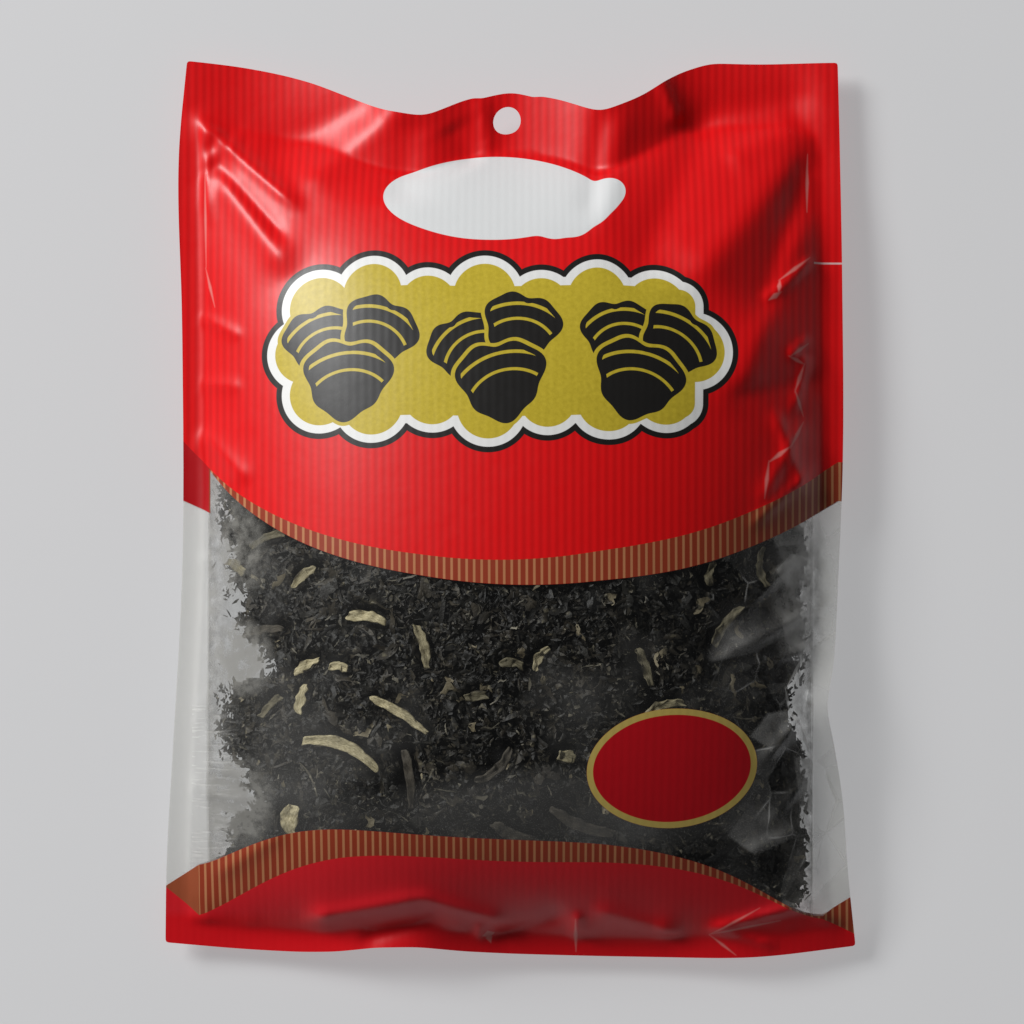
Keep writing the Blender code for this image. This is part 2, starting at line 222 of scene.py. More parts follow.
# The bare label: an oval, and the circles of the lobe at its right, joined softly.
LABEL = (-5, 83.6, 29.5, 12.7)
LABEL_LOBES = ((27, 85, 4.2), (24.6, 82.6, 4.8), (21.4, 79.8, 5.4), (17, 77.2, 5.8), (12, 76.8, 5.8))
LABEL_JOIN = 3.0
LABEL_WHITE = (0.7, 0.71, 0.71)
# The badge: centre, half width and height, turn in degrees, and the width of its gold rim.
BADGE = (43.4, -71.1, 23, 16.3, 5)
BADGE_RIM = 1.7
BADGE_GOLD = (0.56, 0.42, 0.11)
BADGE_RED = (0.5, 0.004, 0.010)
# The bare panel on the back: centre, half width and height, and corner radius.
BACK_PANEL = (0, 45, 60, 26)
BACK_PANEL_ROUND = 4.0

# The clear film: its haze, by place and kind, with painted sheen and painted highlights among them.
CLEAR_TINT = (0.93, 0.935, 0.93)
HAZE_TINT = (0.76, 0.75, 0.72)
POWDER = (0.245, 0.238, 0.216)
MOST_HAZE = 0.7
HAZE = 0.002
# Zones of the haze: what shows only on one side is worked out only left or right of these.
LEFT_ZONE = 0
RIGHT_ZONE = 51
SEAL_START = 82
POWDER_END = 82.6
SEAL_HAZE = 0.25
CLOUD_HAZE = 0.05
SHEEN_STRENGTH = 0.07
DUST_HAZE = 0.7
DUST_VEIL = 0.12
FAR_HAZE = 0.6
LEFT_HAZE = 0.015
CORNER_SHEEN_STRENGTH = 0.05
RUMPLED_GLEAM_STRENGTH = 0.4
STREAK_HAZE = 0.2
# How the dust, streaks, haze, painted crumple highlights and far powder grow over x: slope and start.
DUST_RAMP = (-0.09, -6.4)
STREAK_RAMP = (-0.15, -10.8)
LEFT_RAMP = (-0.014, -0.1)
CRUMPLE_RAMP = (0.07, -3.6)
FAR_RAMP = (0.12, -8.8)
STREAK_EDGES = (-87.5, -54)
# Oval patches on the film, painted sheen for the first two and a painted highlight of rumpled film for the last:
# centre, half width and height, and how fast each fades out.
SHEEN_PATCH = (12.0, -84.0, 52.0, 15.0, 2.5)
CORNER_SHEEN = (-60.0, -88.0, 32.0, 17.0, 1.8)
RUMPLED_GLEAM = (80.0, -24.0, 10.0, 26.0, 2.0)
# Patches of powder stuck to the film, where the heap leaves it: as above, and strength.
POWDER_PATCHES = (
    (-73, -41, 10, 12, 2.0, 1.15), (-75, -80, 12, 14, 2.0, 1.25), (-73, -12, 9, 16, 2.0, 0.75),
    (76, -26, 8, 16, 2.0, 0.6),
)
# Painted highlights on flat facets of crumpled film: strength, way of the fade in degrees, and corners clockwise.
FACET_HIGHLIGHTS = (
    (0.4, 200, (
        (52.7, -40.8), (54.6, -36.2), (58.9, -31.6), (66.6, -26.9), (72, -29), (71, -38.8), (64.2, -40.1),
        (55.8, -43.9),
    )),
    (0.34, 90, ((64.2, -62.4), (68.9, -56.3), (74.3, -55.5), (76.2, -60.2), (71.2, -66.6))),
    (0.4, 90, ((71.5, -17), (75.8, -12.6), (81.5, -13.4), (81.2, -20.6), (76.2, -22.6))),
    (0.35, 20, ((73, -31.5), (77.5, -27.8), (81, -33), (79.2, -41.5), (75.2, -38.6))),
    (0.25, 250, ((58.9, -89.4), (65, -80.2), (72.7, -81.7), (78.2, -89.4), (66.6, -94.9))),
    (0.4, 0, ((77, -68), (82, -69), (82, -84), (78.5, -82))),
    (0.3, 200, ((70, -6), (81, -1), (80, -10), (72, -11))),
)
# Painted highlights of sharp creases along the right weld: from x, y to x, y, and half width.
WELD_CREASE_HIGHLIGHTS = (
    (81.4, -3, 81.3, -41, 0.4), (81.2, -39, 74.1, -50, 0.5), (74.1, -49, 75.2, -56, 0.5), (75, -55.4, 79.4, -60, 0.5),
    (79, -59.4, 81.6, -67, 0.5),
)
CRUMPLE_SCALE = 75
# The film's gloss: the share added at grazing angles, the share head on, and its roughness.
FILM_GLOSS = (0.8, 0.042, 0.2)

# The studio.
FLOOR_HALF = 3
FLOOR_DROP = 0.05 * MM
# The floor paper: its colour, roughness, and glow. The glow is painted light that lightens the shadows on the floor and
# lights the pouch from below.
FLOOR_PAPER = ((0.28, 0.28, 0.283), 0.9, (0.36, 0.36, 0.366))
SKY = ((0.85, 0.87, 0.9), 0.07)
KEY_LIGHT = ((-1.25, 0.92, 1.13), 0.7, 42)
SENSOR = 36
FRAME_WIDTH = 281.6 * MM
CAMERA_HEIGHT = 1.3
FOCUS_HEIGHT = 8 * MM
CAMERA_CENTRE = (0.4 * MM, -1.1 * MM)


# ---- Relaxing the films ----


def frame_arrays(node):
    """A CAD node's corners and triangles."""
    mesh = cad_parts[node].data
    mesh.calc_loop_triangles()
    corners = np.empty(len(mesh.vertices) * 3)
    mesh.vertices.foreach_get("co", corners)
    triangles = np.empty(len(mesh.loop_triangles) * 3, int)
    mesh.loop_triangles.foreach_get("vertices", triangles)
    return corners.reshape(-1, 3), triangles.reshape(-1, 3)


def edge_curve(corners, edges, start, end, axis, side, shares):
    """Points along a film's outline from one corner to another, by x (axis 0) or y (axis 1), on one side."""
    a, b = corners[edges[:, 0]], corners[edges[:, 1]]
    found = []
    for value in start[axis] + (end[axis] - start[axis]) * np.clip(shares, 0.002, 0.998):
        da, db = a[:, axis] - value, b[:, axis] - value
        crossing = (da * db <= 0) & (np.abs(da - db) > 1e-9)
        share = (da[crossing] / (da[crossing] - db[crossing]))[:, None]
        points = a[crossing] * (1 - share) + b[crossing] * share
        found.append(points[np.argmax(side * points[:, 1 - axis])])
    found[0], found[-1] = start, end
    return blurred(np.array(found), 6, across=False)


def blurred(values, times, across=True):
    """A grid of numbers with its small steps rounded, and its rim held."""
    for _ in range(times):
        values[1:-1] = (values[:-2] + 2 * values[1:-1] + values[2:]) / 4
        if across:
            values[:, 1:-1] = (values[:, :-2] + 2 * values[:, 1:-1] + values[:, 2:]) / 4
    return values


def flange_sheet(s, t):
    """The smooth sheet that spans the front film's four edges, as a grid of points."""
    corners, triangles = frame_arrays("front_film")
    edges = np.sort(triangles[:, [0, 1, 1, 2, 2, 0]].reshape(-1, 2), axis=1)
    low_left, low_right, top_left, top_right = (
        corners[np.argmax(sx * corners[:, 0] + sy * corners[:, 1])] for sx, sy in ((-1, -1), (1, -1), (-1, 1), (1, 1))
    )
    low = edge_curve(corners, edges, low_left, low_right, 0, -1, s)[None]
    high = edge_curve(corners, edges, top_left, top_right, 0, 1, s)[None]
    left = edge_curve(corners, edges, low_left, top_left, 1, -1, t)[:, None]
    right = edge_curve(corners, edges, low_right, top_right, 1, 1, t)[:, None]
    s, t = s[None, :, None], t[:, None, None]
    bridge = (1 - s) * (1 - t) * low[:, :1] + s * (1 - t) * low[:, -1:]
    bridge = bridge + (1 - s) * t * high[:, :1] + s * t * high[:, -1:]
    return (1 - t) * low + t * high + (1 - s) * left + s * right - bridge


def cast_heights(tree, points, down=True):
    """The height of a skin over or under each point, or the point's own height where it misses."""
    heights = np.empty(points.shape[:-1])
    start, way = (1.0, Vector((0, 0, -1))) if down else (-1.0, Vector((0, 0, 1)))
    for index in np.ndindex(heights.shape):
        x, y, z = points[index]
        hit = tree.ray_cast(Vector((x, y, start)), way)[0]
        heights[index] = z if hit is None else hit.z
    return heights


def sampled(grid, rows, columns):
    """Points of a grid at fractional rows and columns."""
    r0 = np.clip(rows.astype(int), 0, grid.shape[0] - 2)
    c0 = np.clip(columns.astype(int), 0, grid.shape[1] - 2)
    fr, fc = (rows - r0)[..., None], (columns - c0)[..., None]
    low = grid[r0, c0] * (1 - fc) + grid[r0, c0 + 1] * fc
    high = grid[r0 + 1, c0] * (1 - fc) + grid[r0 + 1, c0 + 1] * fc
    return low * (1 - fr) + high * fr


def resized(grid, rows, columns):
    """A grid of points with more or fewer lines, straight between the old ones."""
    r, c = np.linspace(0, grid.shape[0] - 1, rows), np.linspace(0, grid.shape[1] - 1, columns)
    return sampled(grid, *np.meshgrid(r, c, indexing="ij"))


def pull(a, b, wa, wb, rest, firm):
    """Moves paired points towards their resting distance."""
    away = b - a
    size = np.sqrt((away * away).sum(-1)) + 1e-12
    share = firm * (size - rest) / (size * np.maximum(wa + wb, 1e-9))
    step = away * share[..., None]
    a += step * wa[..., None]
    b -= step * wb[..., None]


def point_pairs(shape):
    """Slices that pair neighbouring points so that no pass has one point twice: upwards, across, diagonal."""
    every = slice(None)
    up, across, diagonal = [], [], []
    for odd in (0, 1):
        rows, columns = ((shape[axis] - odd) // 2 for axis in (0, 1))
        low, high = slice(odd, odd + 2 * rows - 1, 2), slice(odd + 1, odd + 2 * rows, 2)
        left, right = slice(odd, odd + 2 * columns - 1, 2), slice(odd + 1, odd + 2 * columns, 2)
        up.append(((low, every), (high, every)))
        across.append(((every, left), (every, right)))
        diagonal.append(((low, slice(0, -1)), (high, slice(1, None))))
        diagonal.append(((low, slice(1, None)), (high, slice(0, -1))))
    return up, across, diagonal


def resting_lengths(grid, pairs, slack):
    rests = []
    for first, second in pairs:
        away = grid[second] - grid[first]
        rests.append(np.sqrt((away * away).sum(-1)) * (1 + (slack[first] + slack[second]) / 2))
    return rests


def relax(grid, base, held, slack_up, slack_across, pressure, low, high, steps, rounds):
    """Settles a sheet: each point moves with the pressure, then the sheet's own lengths are restored."""
    up, across, diagonal = point_pairs(grid.shape[:2])
    rests = resting_lengths(base, up, slack_up) + resting_lengths(base, across, slack_across)
    rests += resting_lengths(base, diagonal, (slack_up + slack_across) / 2)
    pairs = up + across + diagonal
    firms = [1.0] * (len(up) + len(across)) + [DIAGONAL_FIRMNESS] * len(diagonal)
    weight = np.where(held, 0.0, 1.0)
    weights = [(weight[a], weight[b]) for a, b in pairs]
    free = weight[..., None]
    speed = np.zeros_like(grid)
    for _ in range(steps):
        normal = np.cross(np.gradient(grid, axis=1), np.gradient(grid, axis=0))
        normal /= np.sqrt((normal * normal).sum(-1, keepdims=True)) + 1e-12
        before = grid.copy()
        grid += free * (speed * DRAG + normal * pressure[..., None])
        for _ in range(rounds):
            for (a, b), rest, firm, (wa, wb) in zip(pairs, rests, firms, weights):
                pull(grid[a], grid[b], wa, wb, rest, firm)
            smooth = np.zeros_like(grid)
            smooth[1:-1] += (grid[:-2] + grid[2:]) / 2 - grid[1:-1]
            smooth[:, 1:-1] += (grid[:, :-2] + grid[:, 2:]) / 2 - grid[:, 1:-1]
            grid += free * smooth * BEND
        kept = np.clip(grid[..., 2], low, high)
        grid[..., 2] = np.where(held, grid[..., 2], kept)
        speed = grid - before
    return grid


def wavy(grid, seed, size, count=60):
    """Smooth noise over x and y from many plane waves, about 1 high, with waves about size long."""
    rng = np.random.default_rng(seed)
    total = np.zeros(grid.shape[:-1])
    for _ in range(count):
        angle, phase = rng.uniform(0, 2 * math.pi, 2)
        length = size * rng.uniform(0.6, 1.8)
        along = grid[..., 0] * math.cos(angle) + grid[..., 1] * math.sin(angle)
        total += np.sin(2 * math.pi * along / length + phase)
    return total / math.sqrt(count / 2)


def welds(s, t, margin=0):
    """Which points lie inside the welds, by more than a margin."""
    across = np.minimum(s, 1 - s) * FLAT_WIDTH > SIDE_WELD + margin
    up = (t * FLAT_HEIGHT > BOTTOM_WELD + margin) & ((1 - t) * FLAT_HEIGHT > TOP_WELD + margin)
    return up[:, None] & across[None, :]


def smooth_film(node, side):
    """The CAD film's outer skin as a fine even grid with its facets rounded."""
    s, t = np.linspace(0, 1, COLUMNS + 1), np.linspace(0, 1, ROWS + 1)
    sheet = flange_sheet(s, t)
    tree = BVHTree.FromPolygons(*(part.tolist() for part in frame_arrays(node)))
    inner = blurred(cast_heights(tree, sheet, down=side > 0), 60)
    middle = welds(s, t)
    sheet[..., 2] = np.where(middle, inner, sheet[..., 2] + side * WELD_STEP)
    rim = ~welds(s, t, 3 * MM) & middle
    soft = blurred(sheet[..., 2].copy(), 8)
    sheet[..., 2] = np.where(rim | ~middle, soft, sheet[..., 2])
    return sheet


def fold(grid):
    """Presses the large folds into a settled film: soft ridges and valleys along straight lines."""
    total = np.zeros(grid.shape[:-1])
    for x0, y0, x1, y1, height, wide, sharp in FOLDS:
        start, end = np.array([x0, y0]) * MM, np.array([x1, y1]) * MM
        way = end - start
        length = np.hypot(*way)
        way /= length
        away = grid[..., :2] - start
        along = (away @ way) / length
        off = np.abs(away[..., 0] * way[1] - away[..., 1] * way[0]) / (wide * MM)
        ends = np.clip((along + 0.15) / 0.3, 0, 1) * np.clip((1.15 - along) / 0.3, 0, 1)
        ends = ends * ends * (3 - 2 * ends)
        total += height * MM * ends * np.exp(-(np.sqrt(off * off + sharp * sharp) - sharp) * 1.5)
    grid = grid.copy()
    grid[..., 2] += total
    return grid


def settle_film(base, low, high, pressure):
    """Relaxes a film at three finenesses, so that both broad folds and fine puckers form."""
    shift = np.zeros((2, 2, 3))
    for rows, columns, steps, rounds in LEVELS:
        shape = rows + 1, columns + 1
        ground = resized(base, *shape)
        s, t = np.linspace(0, 1, columns + 1), np.linspace(0, 1, rows + 1)
        inside = welds(s, t)
        from_side = np.minimum(s, 1 - s)[None] * FLAT_WIDTH - SIDE_WELD
        from_top, from_low = (1 - t)[:, None] * FLAT_HEIGHT - TOP_WELD, t[:, None] * FLAT_HEIGHT - BOTTOM_WELD
        near_side, near_top, near_low = (
            np.exp(-np.maximum(away, 0) / EDGE_REACH) * np.ones(shape) for away in (from_side, from_top, from_low)
        )
        slack_up = BODY_SLACK + EDGE_SLACK * near_side
        slack_across = BODY_SLACK + EDGE_SLACK * (near_top + near_low)
        grid = ground + resized(shift, *shape)
        grid[..., 2] += inside * START_WAVES[0] * wavy(ground, rows, START_WAVES[1])
        push = np.where(inside, pressure * ROWS / rows, 0.0)
        limits = [resized(limit[..., None], *shape)[..., 0] for limit in (low, high)]
        grid = relax(grid, ground, ~inside, slack_up, slack_across, push, *limits, steps, rounds)
        shift = grid - ground
    return grid


# ---- Meshes ----


def mesh_object(name, points, faces, smooth=True):
    mesh = bpy.data.meshes.new(name)
    faces = np.asarray(faces)
    mesh.vertices.add(len(points))
    mesh.vertices.foreach_set("co", np.asarray(points, dtype=np.float32).ravel())
    mesh.loops.add(faces.size)
    mesh.loops.foreach_set("vertex_index", faces.ravel().astype(np.int32))
    mesh.polygons.add(len(faces))
    mesh.polygons.foreach_set("loop_start", np.arange(0, faces.size, faces.shape[1], dtype=np.int32))
    mesh.update(calc_edges=True)
    mesh.validate()
    if smooth:
        mesh.shade_smooth()
    return placed(name, mesh)


def placed(name, mesh):
    obj = bpy.data.objects.new(name, mesh)
    bpy.context.scene.collection.objects.link(obj)
    return obj


def grid_faces(rows, columns, turned=False):
    index = np.arange(rows * columns).reshape(rows, columns)
    faces = np.stack([index[:-1, :-1], index[:-1, 1:], index[1:, 1:], index[1:, :-1]], axis=-1).reshape(-1, 4)
    return faces[:, ::-1] if turned else faces


def drop_loose(obj, weld=None):
    """Joins corners closer than a distance, if one is given, and removes corners without faces."""
    work = bmesh.new()
    work.from_mesh(obj.data)
    if weld:
        bmesh.ops.remove_doubles(work, verts=work.verts, dist=weld)
    bmesh.ops.delete(work, geom=[v for v in work.verts if not v.link_faces], context="VERTS")
    work.to_mesh(obj.data)
    work.free()
    obj.data.shade_smooth()


def add_map(mesh, name, places):
    """A UV map with one place for each corner of the mesh."""
    corners = np.empty(len(mesh.loops), dtype=np.int32)
    mesh.loops.foreach_get("vertex_index", corners)
    mesh.uv_layers.new(name=name).data.foreach_set("uv", places[corners].astype(np.float32).ravel())


def subdivide(obj):
    finer = obj.modifiers.new("Finer", "SUBSURF")
    finer.levels = finer.render_levels = 1


def film_object(name, grid, print_grid, centre, turned=False):
    """A film's mesh with the hang hole punched out and a map of where the print lies."""
    away = np.hypot(print_grid[..., 0] - centre[0], print_grid[..., 1] - centre[1])
    middle_row, middle_column = np.unravel_index(np.argmin(away), away.shape)
    middle = grid[middle_row, middle_column]
    step_row = np.linalg.norm(grid[middle_row + 1, middle_column] - middle)
    step_column = np.linalg.norm(grid[middle_row, middle_column + 1] - middle)
    rows, columns = np.mgrid[0 : grid.shape[0], 0 : grid.shape[1]].astype(float)
    dr, dc = rows - middle_row, columns - middle_column
    ring = np.maximum(np.abs(dr), np.abs(dc))
    angle = np.arctan2(dr * step_row, dc * step_column)
    reach = HOLE_RADIUS * np.maximum(ring, 1) / HOLE_RINGS
    blend = np.clip((ring - HOLE_RINGS) / HOLE_BLEND, 0, 1)
    near = ring < HOLE_RINGS + HOLE_BLEND
    off_x, off_y = np.array(centre) - print_grid[middle_row, middle_column, :2]
    round_row = middle_row + off_y / step_row + reach * np.sin(angle) / step_row
    round_column = middle_column + off_x / step_column + reach * np.cos(angle) / step_column
    rows = np.where(near, round_row * (1 - blend) + rows * blend, rows)
    columns = np.where(near, round_column * (1 - blend) + columns * blend, columns)
    points, seen = sampled(grid, rows, columns), sampled(print_grid, rows, columns)
    marks = seen[..., :2]
    if not turned:
        marks = marks / (1 - (seen[..., 2:] - FOCUS_HEIGHT) / CAMERA_HEIGHT)
    faces = grid_faces(*grid.shape[:2], turned)
    punched = (ring.ravel()[faces] <= HOLE_RINGS).all(axis=1)
    obj = mesh_object(name, points.reshape(-1, 3), faces[~punched])
    add_map(obj.data, "print", marks.reshape(-1, 2) * PRINT_SCALE)
    drop_loose(obj)
    subdivide(obj)
    return obj


class Ceiling:
    """The height of a film over x and y, from rays on a grid of one-millimetre squares."""

    def __init__(self, grid):
        tree = BVHTree.FromPolygons(grid.reshape(-1, 3).tolist(), grid_faces(*grid.shape[:2]).tolist())
        self.low = grid[..., :2].min((0, 1))
        spans = grid[..., :2].max((0, 1)) - self.low
        self.size = np.ceil(spans / MM).astype(int) + 1
        ys, xs = np.mgrid[0 : self.size[1], 0 : self.size[0]]
        points = np.stack([self.low[0] + xs * MM, self.low[1] + ys * MM, np.full(xs.shape, FLANGE)], axis=-1)
        self.heights = cast_heights(tree, points)

    def under(self, places):
        """The same ceiling, lowered to each of these places."""
        lowered = copy.copy(self)
        lowered.heights = self.heights.copy()
        for dx, dy in ((0, 0), (0.6, 0), (-0.6, 0), (0, 0.6), (0, -0.6)):
            cells = np.round((places[:, :2] + np.array([dx, dy]) * MM - self.low) / MM).astype(int)
            np.minimum.at(lowered.heights, (cells[:, 1], cells[:, 0]), places[:, 2])
        return lowered

    def __call__(self, x, y):
        column = np.clip((x - self.low[0]) / MM, 0, self.size[0] - 1.001)
        row = np.clip((y - self.low[1]) / MM, 0, self.size[1] - 1.001)
        return sampled(self.heights[..., None], row, column)[..., 0]


# ---- The heap ----


def fill_edge(x, y):
    """How far inside the heap a place is, in metres: positive inside. The left side has two empty bays."""
    low, high = (np.array(corner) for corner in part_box("strip_heap"))
    left, right = (np.interp(y / MM, ys, xs) * MM for xs, ys in (HEAP_LEFT, HEAP_RIGHT))
    across = np.minimum(x - left, right - x) * 0.8
    up = np.minimum(y - low[1], high[1] - y) + HEAP_SPREAD
    grid = np.stack([x, y], axis=-1)
    return np.minimum(across, up) + EDGE_WAVES[0] * wavy(grid, *EDGE_WAVES[1:])


def unit(vectors):
    return vectors / np.linalg.norm(vectors, axis=-1, keepdims=True)


def curled_strips(centres, normals, lengths, widths, rng, steps):
    """Many curled ribbons at once: three points across, bent along and across, each turned onto its normal."""
    count = len(centres)
    u = np.linspace(-0.5, 0.5, steps + 1)[None, :, None]
    v = np.linspace(-0.5, 0.5, 3)[None, None, :]
    long, wide = lengths[:, None, None], widths[:, None, None]
    rand = lambda low, high: rng.uniform(low, high, count)[:, None, None]
    taper = 1 - (2 * np.abs(u)) ** rand(1.5, 5) * rand(0.3, 0.95)
    ragged = 1 + 0.3 * rng.standard_normal((count, steps + 1, 3)) * np.abs(v) * 2
    x = long * (u + 0 * v)
    y = wide * v * taper * ragged
    y = y + long * rand(-0.35, 0.35) * (u * u - 0.08)
    y = y + wide * rand(-0.6, 0.6) * np.sin(2 * math.pi * u * rand(0.6, 1.6) + rand(0, 6))
    z = long * rand(-0.9, 0.9) * (0.08 - u * u) * 0.6
    z = z - wide * rand(-0.8, 1.0) * (v * v - 0.05)
    twist = rand(-1.6, 1.6) * u
    z = z + y * np.sin(twist)
    y = y * np.cos(twist)
    z = z + 0.06 * wide * rng.standard_normal((count, steps + 1, 3))
    turn = rng.uniform(0, 2 * math.pi, count)
    tip = np.stack([np.cos(turn), np.sin(turn), np.zeros(count)], axis=-1)
    forward = unit(tip - normals * (tip * normals).sum(-1, keepdims=True))
    aside = np.cross(normals, forward)
    points = centres[:, None]
    for part, way in ((x, forward), (y, aside), (z, normals)):
        points = points + part.reshape(count, -1, 1) * way[:, None]
    faces = grid_faces(steps + 1, 3)
    faces = (faces[None] + (np.arange(count) * (steps + 1) * 3)[:, None, None]).reshape(-1, 4)
    return points.reshape(-1, 3), faces


def slope_normals(ceiling, x, y, side):
    step = 2 * MM
    dx = (ceiling(x + step, y) - ceiling(x - step, y)) / (2 * step)
    dy = (ceiling(x, y + step) - ceiling(x, y - step)) / (2 * step)
    return unit(np.stack([-dx, -dy, np.ones_like(dx)], axis=-1) * side)


def strip_layer(name, count, side, length, width, depth, seed, steps, margin, spill, look):
    """A layer of strips just inside one film: front (side 1) or back (side -1)."""
    rng = np.random.default_rng(seed)
    x_low, x_high, y_low, y_high = np.array(WINDOW) * MM
    x, y = rng.uniform(x_low, x_high, count * 2), rng.uniform(y_low, y_high, count * 2)
    kept = fill_edge(x, y) > (margin - rng.exponential(spill, count * 2)) * MM
    kept &= np.abs(x) < WIDEST_STRIP
    x, y = x[kept][:count], y[kept][:count]
    skin = roof if side > 0 else floor_height
    normals = unit(slope_normals(skin, x, y, side) + rng.normal(0, 0.32, (len(x), 3)))
    sunk = rng.uniform(*depth, len(x)) * MM
    z = skin(x, y) - side * np.minimum(sunk, (roof(x, y) - floor_height(x, y)) * 0.48)
    size = np.exp(rng.normal(0, 0.45, len(x)))
    long = np.clip(length * size, length * 0.35, length * 3) * MM
    wide = np.clip(width * np.exp(rng.normal(0, 0.35, len(x))), width * 0.4, width * 2.4) * MM
    centres = np.stack([x, y, z], axis=-1)
    points, faces = curled_strips(centres, normals, long, np.minimum(wide, long * 0.8), rng, steps)
    places = points[:, 0], points[:, 1]
    points[:, 2] = np.clip(points[:, 2], floor_height(*places) + STRIP_ROOM, roof(*places) - STRIP_ROOM)
    obj = mesh_object(name, points, faces)
    obj.data.materials.append(look)
    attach(obj, "root")


def heap_core(name, finish):
    """The dark inside of the heap: a closed lumpy body under the layers of strips."""
    low, high = (np.array(corner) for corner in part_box("strip_heap"))
    columns, rows = CORE_GRID
    xs = np.linspace(low[0] - HEAP_SPREAD, high[0] + HEAP_SPREAD, columns)
    ys = np.linspace(low[1] - HEAP_SPREAD, high[1] + HEAP_SPREAD, rows)
    x, y = np.meshgrid(xs, ys)
    inset = np.where(x > 0, CORE_INSET[1], CORE_INSET[0])
    inside = np.clip(fill_edge(x, y) - inset, 0, CORE_ROUND) / CORE_ROUND
    swell = np.sqrt(1 - (1 - inside) ** 2)
    bumps = CORE_WAVES[0] * wavy(np.stack([x, y], axis=-1), *CORE_WAVES[1:])
    top, bottom = roof(x, y) - CORE_DEPTH + bumps, floor_height(x, y) + CORE_DEPTH * 0.6 + bumps
    middle = (top + bottom) / 2
    upper = np.stack([x, y, middle + np.maximum(top - middle, 0) * swell], axis=-1)
    lower = np.stack([x, y, middle - np.maximum(middle - bottom, 0) * swell], axis=-1)
    faces = grid_faces(rows, columns)
    faces = faces[(swell > 0).ravel()[faces].any(axis=1)]
    points = np.concatenate([upper.reshape(-1, 3), lower.reshape(-1, 3)])
    both = np.concatenate([faces, faces[:, ::-1] + columns * rows])
    obj = mesh_object(name, points, both)
    drop_loose(obj, weld=0.01 * MM)
    obj.data.materials.append(finish)
    return obj


def add_grain(mesh, places):
    """A map with millimetres along a strip as u, and the share of its half width as v."""
    flat = places[:, :2] - places[:, :2].mean(0)
    axes = np.linalg.svd(flat, full_matrices=False)[2]
    along, across = flat @ axes[0] / MM, flat @ axes[1] / MM
    across = across - np.polyval(np.polyfit(along, across, 3), along)
    add_map(mesh, "grain", np.stack([along, across / np.percentile(np.abs(across), 95)], axis=-1))


def laid_strip(node, finish, seed):
    """A CAD strip remade under the settled film: finer, with a curled rim and ragged ends. Returns its places."""
    corners, triangles = frame_arrays(node)
    mesh = bpy.data.meshes.new(node + "_curl")
    mesh.from_pydata(corners.tolist(), [], triangles.tolist())
    work = bmesh.new()
    work.from_mesh(mesh)
    bmesh.ops.remove_doubles(work, verts=work.verts, dist=0.005 * MM)
    bmesh.ops.join_triangles(work, faces=work.faces, angle_face_threshold=0.7, angle_shape_threshold=0.7)
    bmesh.ops.subdivide_edges(work, edges=work.edges, cuts=1, use_grid_fill=True)
    places = np.array([v.co[:] for v in work.verts])
    x, y, z = places.T
    rough, crimp = wavy(places, seed, ROUGH_WAVES[0], 24), wavy(places, seed + 50, CRIMP_WAVES[0], 24)
    top = roof(x, y) - STRIP_ROOM
    z = np.minimum(top, top - (cad_roof(x, y) - z) + ROUGH_WAVES[1] * rough + CRIMP_WAVES[1] * crimp)
    for v, place in zip(work.verts, np.stack([x + 0.28 * MM * crimp, y + 0.24 * MM * rough, z], axis=-1)):
        v.co = place
    bmesh.ops.recalc_face_normals(work, faces=work.faces)
    work.to_mesh(mesh)
    work.free()
    mesh.shade_smooth()
    obj = placed(node + "_curl", mesh)
    subdivide(obj)
    mesh.materials.append(finish)
    places = np.array([v.co[:] for v in mesh.vertices])
    add_grain(mesh, places)
    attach(obj, "root")
    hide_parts(node)
    places[:, 2] = places[:, 2].min() - STRIP_SHADE
    return places


# ---- Materials ----


def feed(value, slot):
    """Sets an input from a number, a colour, a field or another node's socket."""
    if isinstance(value, tuple):
        slot.default_value = (*value, 1)
    elif isinstance(value, (int, float)):
        slot.default_value = value
    else:
        Field.tree.links.new(value.socket if isinstance(value, Field) else value, slot)


def node(kind, inputs=(), **settings):
    """A shader node with its settings, and its inputs by name or number."""
    made = Field.tree.nodes.new(kind)
    for key, value in settings.items():
        setattr(made, key, value)
    for key, value in dict(inputs).items():
        feed(value, made.inputs[key])
    return made


def operator(operation, turned=False):
    def method(self, *others):
        return Field.math(operation, *((*others, self) if turned else (self, *others)))

    return method


class Field:
    """A number that varies over a surface, so that node networks can be written as sums."""

    tree = None

    def __init__(self, socket):
        self.socket = socket

    @staticmethod
    def math(operation, *values, clamp=False):
        return Field(node("ShaderNodeMath", enumerate(values), operation=operation, use_clamp=clamp).outputs[0])

    __add__, __radd__ = operator("ADD"), operator("ADD", turned=True)
    __sub__, __rsub__ = operator("SUBTRACT"), operator("SUBTRACT", turned=True)
    __mul__, __rmul__ = operator("MULTIPLY"), operator("MULTIPLY", turned=True)
    __truediv__, __pow__ = operator("DIVIDE"), operator("POWER")
    abs, sqrt, sin = operator("ABSOLUTE"), operator("SQRT"), operator("SINE")
    least, most = operator("MINIMUM"), operator("MAXIMUM")

    def over(self, other=0.0):
        return Field.math("GREATER_THAN", self, other)

    def ramp(self, slope, start):
        """A straight ramp over this number, held between 0 and 1."""
        return Field.math("MULTIPLY_ADD", self, slope, start, clamp=True)

    def inked(self, edge=0.12):
        """1 where a distance in millimetres is negative, with a short soft edge."""
        return self.ramp(-1.0 / edge, 0.5)


def hypot(a, b):
    return (a * a + b * b).sqrt()


